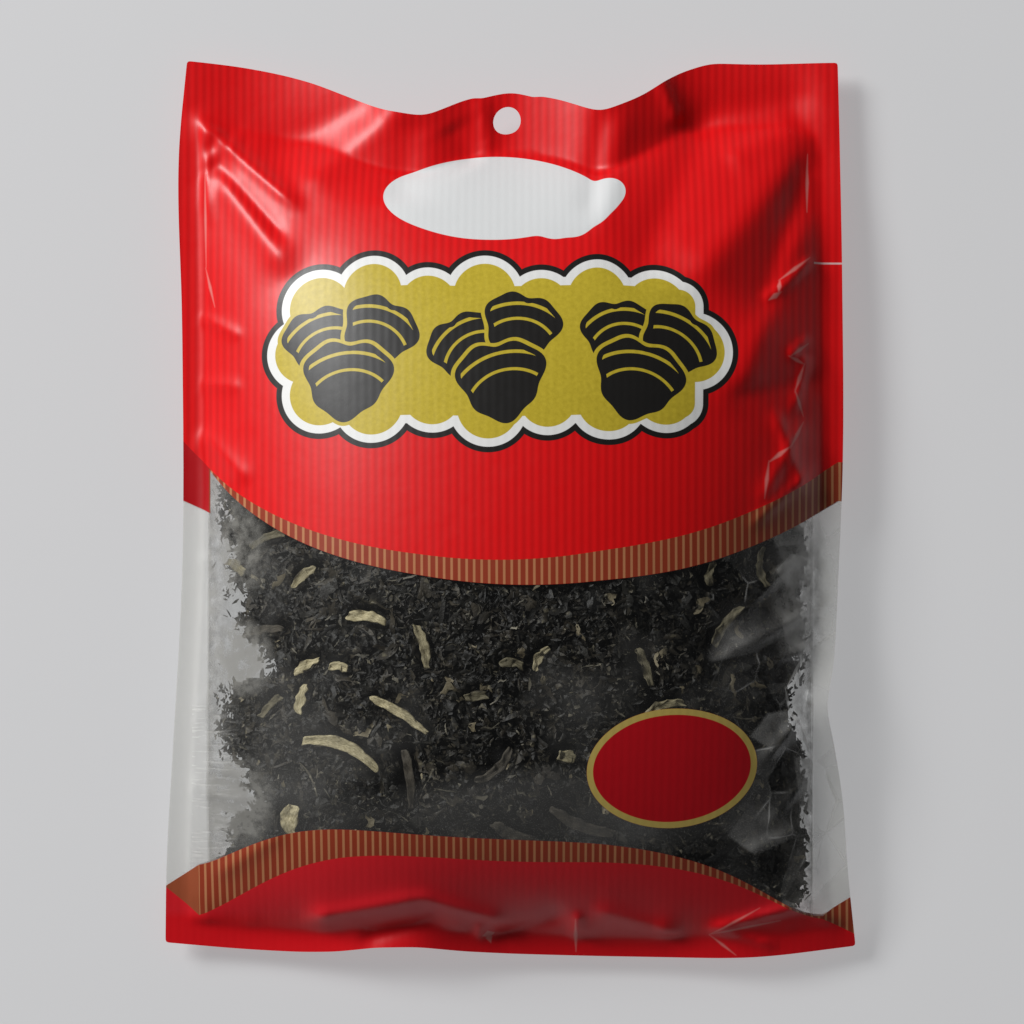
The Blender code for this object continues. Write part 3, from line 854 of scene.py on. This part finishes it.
def group(name, inputs, build):
    """A node group made by a function of numbers. Returns a function that places it in the tree being built."""
    tree = bpy.data.node_groups.new(name, "ShaderNodeTree")
    for label in inputs:
        tree.interface.new_socket(name=label, in_out="INPUT", socket_type="NodeSocketFloat")
    outer, Field.tree = Field.tree, tree
    start = node("NodeGroupInput")
    results = build(*[Field(socket) for socket in start.outputs[: len(inputs)]])
    for number in range(len(results)):
        tree.interface.new_socket(name=f"result_{number}", in_out="OUTPUT", socket_type="NodeSocketFloat")
    node("NodeGroupOutput", enumerate(results))
    Field.tree = outer

    def place(*values):
        made = node("ShaderNodeGroup", node_tree=tree)
        for slot, value in zip(made.inputs, values):
            feed(value, slot)
        return [Field(socket) for socket in made.outputs[: len(results)]]

    return place


def blank_material(name):
    made = bpy.data.materials.new(name)
    made.use_nodes = True
    made.node_tree.nodes.clear()
    Field.tree = made.node_tree
    return made


def noise(vector, scale, detail=3.0, rough=0.55):
    inputs = {"Vector": vector, "Scale": scale, "Detail": detail, "Roughness": rough}
    return Field(node("ShaderNodeTexNoise", inputs).outputs["Fac"])


def bump(height, strength, distance):
    return node("ShaderNodeBump", {"Height": height, "Strength": strength, "Distance": distance}).outputs[0]


def mix_colour(share, first, second):
    return node("ShaderNodeMix", {0: share, 6: first, 7: second}, data_type="RGBA").outputs[2]


def mix_shader(share, first, second):
    return node("ShaderNodeMixShader", {0: share, 1: first, 2: second}).outputs[0]


def vector_of(x, y):
    return node("ShaderNodeCombineXYZ", {0: x, 1: y}).outputs[0]


def parts_of(vector):
    parts = node("ShaderNodeSeparateXYZ", {0: vector})
    return Field(parts.outputs[0]), Field(parts.outputs[1])


def own_position():
    return node("ShaderNodeTexCoord").outputs["Object"]


def finish_with(shader):
    node("ShaderNodeOutputMaterial", {0: shader})


def surface(colour, roughness, **inputs):
    """A Principled shader. Its other inputs are given by name, with _ for each space."""
    named = {key.replace("_", " "): value for key, value in inputs.items()}
    inputs = {"Base Color": colour, "Roughness": roughness, **named}
    return node("ShaderNodeBsdfPrincipled", inputs).outputs[0]


def polynomial(x, factors):
    total = x * factors[0] + factors[1]
    for factor in factors[2:]:
        total = Field.math("MULTIPLY_ADD", total, x, factor)
    return total


def slanted(x, x0, y0, x1, y1):
    """A straight line's height over x."""
    slope = (y1 - y0) / (x1 - x0)
    return x * slope + (y0 - x0 * slope)


def switched(share, first, second):
    return first + share * (second - first)


def turned(x, y, degrees):
    """A place in axes turned by an angle. Works for numbers and fields."""
    cos, sin = math.cos(math.radians(degrees)), math.sin(math.radians(degrees))
    return x * cos + y * sin, y * cos - x * sin


def ellipse(x, y, half_x, half_y):
    """About how far outside an ellipse a place is."""
    reach = hypot(x / half_x, y / half_y)
    return reach * (reach - 1.0) / hypot(x / half_x**2, y / half_y**2).most(1e-4)


def oval_patch(x, y, centre_x, centre_y, half_x, half_y, fade):
    """1 in the middle of an oval, fading to 0 at its edge."""
    return hypot((x - centre_x) / half_x, (y - centre_y) / half_y).ramp(-fade, fade)


def thin_line(x, y, x0, y0, way_x, way_y, length, width):
    along = (x - x0) * way_x + (y - y0) * way_y
    held = along.most(0.0).least(length)
    away = hypot(x - x0 - held * way_x, y - y0 - held * way_y)
    return (away - (1.0 - (held / length * 2.0 - 1.0).abs()) * width,)


def tapered_lines(x, y, marks):
    """How far a place is outside the nearest of several thin lines, each tapered to both ends."""
    place = group("thin_line", ("x", "y", "x0", "y0", "way_x", "way_y", "length", "width"), thin_line)
    nearest = None
    for x0, y0, x1, y1, width in marks:
        length = math.hypot(x1 - x0, y1 - y0)
        away = place(x, y, x0, y0, (x1 - x0) / length, (y1 - y0) / length, length, width)[0]
        nearest = away if nearest is None else nearest.least(away)
    return nearest


def beyond_edge(away, x, y, x0, y0, out_x, out_y):
    return (away.most((x - x0) * out_x + (y - y0) * out_y),)


def within(place, x, y, corners):
    """How far outside a convex shape a place is. The corners go round clockwise."""
    away = -100.0
    for (x0, y0), (x1, y1) in zip(corners, corners[1:] + corners[:1]):
        length = math.hypot(x1 - x0, y1 - y0)
        away = place(away, x, y, x0, y0, -(y1 - y0) / length, (x1 - x0) / length)[0]
    return away


def ear_shape(x, y, size, cos, sin):
    """A plain drawing of one lobe of wood ear: the gap around it, and its body with two curved ribs left open."""
    u, v = (x * cos + y * sin) / size, (y * cos - x * sin) / size
    angle = Field.math("ARCTAN2", v, u)
    rim = 1.0 + (angle * 3.0 + 0.6).sin() * 0.10 + (angle * 7.0 + 1.0).sin() * 0.045
    distance = (hypot(u, v * 1.12) - rim) * size
    inner = hypot(u * 0.9, (v + 0.75))
    ribs = ((inner - 1.35).abs() * size - 0.45).inked().most(((inner - 0.95).abs() * size - 0.4).inked())
    return (distance - 1.1).inked(), distance.inked() * (1.0 - ribs * (-1.6 - distance).over())


def red_and_bands(x, y, ribs):
    """The colour of the red print and its striped bands, and how much of a place is printed with them."""
    share = x.most(-90.0).least(90.0) * 0.01
    upper_red, upper_band, low_band, low_red = (
        polynomial(share, factors) for factors in (UPPER_RED, UPPER_BAND, LOWER_BAND, LOWER_RED)
    )
    left, right = (-WELD_LINE - x).over(), (x - WELD_LINE).over()
    upper_band = switched((-WELD_START - x).over(), upper_band, slanted(x, *UPPER_BAND_LEFT)).least(upper_red)
    low_band = switched(left, low_band, slanted(x, *LOWER_BAND_LEFT))
    low_red = switched(left, low_red, slanted(x, *LOWER_RED_LEFT))
    low_band = switched(right, low_band, slanted(x, *LOWER_BAND_RIGHT))
    low_red = switched(right, low_red, slanted(x, *LOWER_RED_RIGHT))
    low_band = low_band.most(low_red + 0.3)
    red_top, band_top = (upper_red - y).inked(), (upper_band - y).inked()
    red_low, band_low = (y - low_red).inked(), (y - low_band).inked()
    colour = mix_colour(ribs * 0.5 + 0.5, RED_DEEP, RED_BRIGHT)
    colour = mix_colour(red_low, colour, RED_LOW)
    colour = mix_colour(y.ramp(*LOW_FADE), colour, RED_WELD)
    stripes = (x * (2 * math.pi / BAND_PITCH)).sin().ramp(*STRIPE_EDGE)
    bands = mix_colour(stripes, BAND_DARK, BAND_LIGHT)
    bands = mix_colour(left * band_low, bands, BAND_PLAIN)
    bands = mix_colour((-SEAL_LINE - x).over() * band_top, bands, RED_SEAL)
    colour = mix_colour((band_top - red_top).most(band_low - red_low), colour, bands)
    # A painted highlight of the crease across the right weld.
    crease = ((y - WELD_CREASE_GLEAM[0]).abs() - 0.25).inked(0.2) * (x - WELD_CREASE_GLEAM[1]).over()
    return mix_colour(crease * 0.6, colour, PLATE_WHITE), band_top.most(band_low)


def front_ink(x, y, position, colour, ink):
    """The front's ink: the plaque with its drawings and the bare label, and outside their zone the badge and the
    painted crease highlights, since each ray works out only the nodes of its zone. Also returns where the badge is."""
    px, py = x - PLATE[0], y - PLATE[1]
    plate = hypot((px.abs() - PLATE[2]).most(0.0), (py.abs() - PLATE[3]).most(0.0)) - PLATE[4]
    for cx, cy, radius in PUFFS:
        plate = plate.least(hypot(px - cx, py - cy) - radius)
    gold = mix_colour(noise(position, 900.0, 2.0), GOLD_DARK, GOLD_LIGHT)
    plaque = colour
    for inset, shade in zip(PLATE_RIMS, (PLATE_BLACK, PLATE_WHITE, gold)):
        plaque = mix_colour((plate + inset).inked(), plaque, shade)
    ear = group("ear", ("x", "y", "size", "cos", "sin"), ear_shape)
    for ear_x, ear_y, turn in EARS:
        for lobe_x, lobe_y, size, tilt in LOBES:
            away_x, away_y = turned(lobe_x, lobe_y, -turn)
            lean = math.radians(tilt + turn)
            gap, body = ear(x - (ear_x + away_x), y - (ear_y + away_y), size, math.cos(lean), math.sin(lean))
            plaque = mix_colour(body, mix_colour(gap, plaque, gold), PLATE_BLACK)
    label = ellipse(x - LABEL[0], y - LABEL[1], LABEL[2], LABEL[3])
    for cx, cy, radius in LABEL_LOBES:
        label = Field.math("SMOOTH_MIN", label, hypot(x - cx, y - cy) - radius, LABEL_JOIN)
    plaque = mix_colour(label.inked(), plaque, LABEL_WHITE)
    badge = ellipse(*turned(x - BADGE[0], y - BADGE[1], BADGE[4]), BADGE[2], BADGE[3])
    colour = mix_colour(badge.inked(), colour, BADGE_GOLD)
    colour = mix_colour((badge + BADGE_RIM).inked(), colour, BADGE_RED)
    # Painted highlights of creases, as light lines in the print.
    colour = mix_colour(tapered_lines(x, y, CREASE_GLEAMS).inked(0.5) * 0.6, colour, CREASE_GLEAM_COLOUR)
    zone = (PLATE_ZONE[0] - px.abs()).over() * (y - PLATE_ZONE[1]).over()
    return mix_shader(zone, ink(colour), ink(plaque)), badge.inked()


def back_ink(x, y, colour, ink):
    """The back's ink, with its bare panel. Also returns where the panel is."""
    away_x = (x - BACK_PANEL[0]).abs() - BACK_PANEL[2] + BACK_PANEL_ROUND
    away_y = (y - BACK_PANEL[1]).abs() - BACK_PANEL[3] + BACK_PANEL_ROUND
    panel = hypot(away_x.most(0.0), away_y.most(0.0)) + away_x.most(away_y).least(0.0) - BACK_PANEL_ROUND
    return ink(mix_colour(panel.inked(), colour, LABEL_WHITE)), panel.inked()


def crumple_highlights(x, y, position):
    """How much painted highlight the crumpled film at the right gets: random cells, and the facets of the table."""
    cells = node("ShaderNodeTexVoronoi", {"Vector": position, "Scale": CRUMPLE_SCALE}, feature="F1")
    pick = node("ShaderNodeSeparateColor", {0: cells.outputs["Color"]})
    facets = Field(pick.outputs[0]).ramp(2.2, -1.2) * 0.12
    edge = group("beyond_edge", ("away", "x", "y", "x0", "y0", "out_x", "out_y"), beyond_edge)
    for strength, turn, corners in FACET_HIGHLIGHTS:
        middle_x, middle_y = (sum(places) / len(corners) for places in zip(*corners))
        fade = turned(x - middle_x, y - middle_y, turn)[0].ramp(0.05, 0.6)
        facets = facets.most(within(edge, x, y, corners).inked(0.8) * fade * strength)
    return facets * (noise(position, 170.0, 3.0) * 2.0 - 0.1)


def crease_highlights(x, y, position, front):
    """The painted highlights of the creases between the cells of the crumpled film, and on the front those of the
    table.
    """
    rims = node("ShaderNodeTexVoronoi", {"Vector": position, "Scale": CRUMPLE_SCALE}, feature="DISTANCE_TO_EDGE")
    lines = Field(rims.outputs["Distance"]).ramp(-40.0, 1.0) * noise(position, 70.0, 2.0).ramp(8.0, -4.0)
    if front:
        # Painted highlights of the creases along the right weld.
        lines = lines.most(tapered_lines(x, y, WELD_CREASE_HIGHLIGHTS).inked(0.4) * 1.6)
    return lines


def hazy(haze, powder=None):
    """Clear film under some haze and powder."""
    clear = node("ShaderNodeBsdfTransparent", {"Color": CLEAR_TINT}).outputs[0]
    tint, amount = HAZE_TINT, haze
    if powder is not None:
        amount = powder + haze
        tint = mix_colour(powder / amount, HAZE_TINT, POWDER)
    return mix_shader(amount.least(MOST_HAZE), clear, node("ShaderNodeBsdfDiffuse", {"Color": tint}).outputs[0])


def powdered(x, y, position, edge, front, side):
    """The powder of the fungus on the film: along the weld, and on the front in the patches of one side."""
    inner = (POWDER_END - x.abs()).over()
    grains = noise(position, 330.0, 4.0).ramp(2.4, -0.65)
    powder = inner * edge * grains
    for *patch, strength in POWDER_PATCHES:
        if front and patch[0] * side > 0:
            powder = powder.most(inner * oval_patch(x, y, *patch) * grains * strength)
    return powder


def clear_film(x, y, position, front):
    """The unprinted film: clear, with haze, powder, painted sheen, painted highlights of the crumpled film, and a
    gloss.

    Only the left and the right zone hold the nodes of what shows there, since each ray that passes works them out.
    """
    # A patch of painted sheen across the lower window is added to the haze.
    haze = HAZE + noise(position, 24.0, 3.0).ramp(7.0, -3.6) * CLOUD_HAZE + oval_patch(x, y, *SHEEN_PATCH) * SHEEN_STRENGTH
    middle = hazy(haze)
    haze = haze + x.abs().ramp(1.0, -SEAL_START) * SEAL_HAZE
    dust = x.ramp(*DUST_RAMP)
    dust = dust * dust
    streak = noise(vector_of(x * 0.1, y), 1.1, 3.0).ramp(8.0, -4.4)
    streak = streak * x.ramp(*STREAK_RAMP) * (STREAK_EDGES[1] - y).over() * (x - STREAK_EDGES[0]).over()
    left = haze + dust * DUST_VEIL + streak * STREAK_HAZE + x.ramp(*LEFT_RAMP) * LEFT_HAZE
    # A patch of painted sheen at the lower left.
    left = left + oval_patch(x, y, *CORNER_SHEEN) * CORNER_SHEEN_STRENGTH
    left = hazy(left, powdered(x, y, position, dust * DUST_HAZE, front, -1))
    # Painted highlights of the crumpled film and its creases, added to the haze at the right.
    glints = crumple_highlights(x, y, position) + crease_highlights(x, y, position, front) * 0.3
    # A painted highlight on the rumpled film next to the right weld.
    rumpled = oval_patch(x, y, *RUMPLED_GLEAM) * noise(position, 300.0, 4.0).ramp(2.6, -0.75)
    right = haze + x.ramp(*CRUMPLE_RAMP) * glints + rumpled * RUMPLED_GLEAM_STRENGTH
    right = hazy(right, powdered(x, y, position, x.ramp(*FAR_RAMP) * FAR_HAZE, front, 1))
    seen = mix_shader((LEFT_ZONE - x).over(), middle, left)
    seen = mix_shader((x - RIGHT_ZONE).over(), seen, right)
    crumple = bump(noise(position, 110.0, 3.0), 0.4, 0.0006)
    gleam = node("ShaderNodeLayerWeight", {"Blend": 0.5, "Normal": crumple}).outputs["Facing"]
    grazing, head_on, rough = FILM_GLOSS
    shine = node("ShaderNodeBsdfGlossy", {"Color": (1, 1, 1), "Roughness": rough, "Normal": crumple})
    return mix_shader(Field(gleam) ** 4.0 * grazing + head_on, seen, shine.outputs[0])


def film_material(name, front=True):
    made = blank_material(name)
    marks = node("ShaderNodeUVMap", uv_map="print").outputs[0]
    x, y = (part * (1000.0 / PRINT_SCALE) for part in parts_of(marks))
    position = own_position()
    ribs = (x * (2 * math.pi / RIB_PITCH)).sin()
    rough = noise(position, 260.0, 4.0) * 0.12 + INK_ROUGH
    normal = bump(noise(position, 80.0, 3.0) * 0.8 + ribs * 0.05, 0.35, 0.0004)

    def ink(colour):
        gloss = {"Specular_IOR_Level": INK_SPECULAR, "Coat_Weight": INK_COAT[0], "Coat_Roughness": INK_COAT[1]}
        return surface(colour, rough, Normal=normal, **gloss)

    colour, printed = red_and_bands(x, y, ribs)
    inked, drawn = front_ink(x, y, position, colour, ink) if front else back_ink(x, y, colour, ink)
    finish_with(mix_shader(printed.most(drawn), clear_film(x, y, position, front), inked))
    return made


def fungus_material(name, dark, light, speck):
    """Dry shreds of fungus: blotches of two shades with lighter specks."""
    made = blank_material(name)
    position = own_position()
    fine, grain = noise(position, 1500.0, 3.0), noise(position, 420.0, 2.0)
    colour = mix_colour(noise(position, 160.0, 2.0).ramp(2.6, -0.8), dark, light)
    colour = mix_colour(grain.ramp(7.0, -4.3), colour, speck)
    finish_with(surface(colour, fine * 0.3 + 0.45, Normal=bump(fine + grain, 0.6, 0.0003)))
    return made


def strip_material(name, rim, dark, light):
    """A strip of fungus: fine fibres along it, darker at its two long edges."""
    made = blank_material(name)
    along, across = parts_of(node("ShaderNodeUVMap", uv_map="grain").outputs[0])
    fibres = noise(vector_of(along * 0.35, across * 2.4), 2.2, 4.0, 0.7)
    blots = noise(own_position(), 420.0, 2.0)
    colour = mix_colour(fibres.ramp(3.6, -1.3), dark, light)
    rim_share = across.abs() + blots * 1.6 - 0.8
    colour = mix_colour(rim_share.ramp(3.0, -2.2), colour, rim)
    finish_with(surface(colour, 0.7, Normal=bump(fibres + blots, 0.7, 0.0004)))
    return made


def paper_material(name, colour, roughness, glow):
    made = blank_material(name)
    finish_with(surface(colour, roughness, Emission_Color=glow, Emission_Strength=1))
    return made


# ---- The scene ----


def studio():
    corners = [(x * FLOOR_HALF, y * FLOOR_HALF, 0) for x, y in ((-1, -1), (1, -1), (1, 1), (-1, 1))]
    floor = mesh_object("floor", corners, [(0, 1, 2, 3)], smooth=False)
    floor.data.materials.append(paper_material("floor_paper", *FLOOR_PAPER))
    floor.location.z = -FLOOR_DROP
    world = bpy.data.worlds.new("studio")
    bpy.context.scene.world = world
    world.use_nodes = True
    sky = world.node_tree.nodes["Background"]
    sky.inputs[0].default_value, sky.inputs[1].default_value = (*SKY[0], 1), SKY[1]
    lamp = bpy.data.lights.new("key", "AREA")
    lamp.shape = "RECTANGLE"
    lamp.size = lamp.size_y = KEY_LIGHT[1]
    lamp.energy = KEY_LIGHT[2]
    key = placed("key", lamp)
    key.location = KEY_LIGHT[0]
    key.rotation_euler = (-Vector(KEY_LIGHT[0])).to_track_quat("-Z", "Y").to_euler()
    bpy.context.scene.view_settings.view_transform = "Standard"
    lens = bpy.data.cameras.new("camera")
    lens.sensor_width = SENSOR
    lens.lens = SENSOR * CAMERA_HEIGHT / FRAME_WIDTH
    camera = placed("camera", lens)
    camera.location = (*CAMERA_CENTRE, CAMERA_HEIGHT + FOCUS_HEIGHT)
    bpy.context.scene.camera = camera


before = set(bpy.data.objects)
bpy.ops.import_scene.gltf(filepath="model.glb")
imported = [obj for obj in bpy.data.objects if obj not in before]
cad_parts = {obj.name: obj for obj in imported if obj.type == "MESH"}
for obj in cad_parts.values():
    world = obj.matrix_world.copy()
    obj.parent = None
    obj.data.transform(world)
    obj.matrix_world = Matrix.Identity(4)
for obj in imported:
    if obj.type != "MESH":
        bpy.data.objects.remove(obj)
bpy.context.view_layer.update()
base, back_base = smooth_film("front_film", 1), smooth_film("back_film", -1)
cad_height, back_height = base[..., 2], back_base[..., 2]
lower = 1 / (1 + np.exp((base[..., 1] + LUMPS_FADE[0]) / LUMPS_FADE[1]))
sink = lower * (FRONT_SINK + LUMPS[0] * wavy(base, 5, LUMPS[1]))
front = fold(settle_film(base, cad_height - FRONT_SINK + sink, cad_height + FRONT_RISE, PRESSURE))
back = settle_film(back_base, np.maximum(back_height - BACK_SINK, BACK_LOWEST), back_height + BACK_RISE, -PRESSURE)
seam = ~welds(np.linspace(0, 1, COLUMNS + 1), np.linspace(0, 1, ROWS + 1))
back[..., 2] = np.where(seam, front[..., 2] - WEB_GAP, back[..., 2])

front_film = film_object("front_film_sheet", front, base, HOLE_CENTRE)
back_film = film_object("back_film_sheet", back, back_base, HOLE_CENTRE, turned=True)
front_film.data.materials.append(film_material("front_print", front=True))
back_film.data.materials.append(film_material("back_print", front=False))
for film, name, slot in ((front_film, "front_film", "printed_film"), (back_film, "back_film", "clear_film")):
    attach(film, "root")
    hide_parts(name)

roof, floor_height, cad_roof = Ceiling(front), Ceiling(back), Ceiling(base)
fungus = {name: fungus_material(name, *shades) for name, shades in FUNGUS.items()}
pale = [
    strip_material(f"pale_fungus_{number}", *[tuple(part * share for part in shade) for shade in PALE_STRIP])
    for number, share in enumerate(PALE_SHARES)
]
brown = strip_material("brown_strip", *BROWN_STRIP)
covered = []
for number, name in enumerate(sorted(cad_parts)):
    if name.startswith("pale_strip"):
        covered.append(laid_strip(name, pale[PALE_LOOKS[int(name[-2:]) - 1]], STRIP_SEED + number))
    elif name.startswith("dark_strip"):
        covered.append(laid_strip(name, brown, STRIP_SEED + number))
roof = roof.under(np.concatenate(covered))
core = heap_core("heap_core", fungus["dark_fungus"])
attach(core, "root")
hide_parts("strip_heap")
for *layer, look in HEAP_LAYERS:
    strip_layer(*layer, fungus[look])
studio()
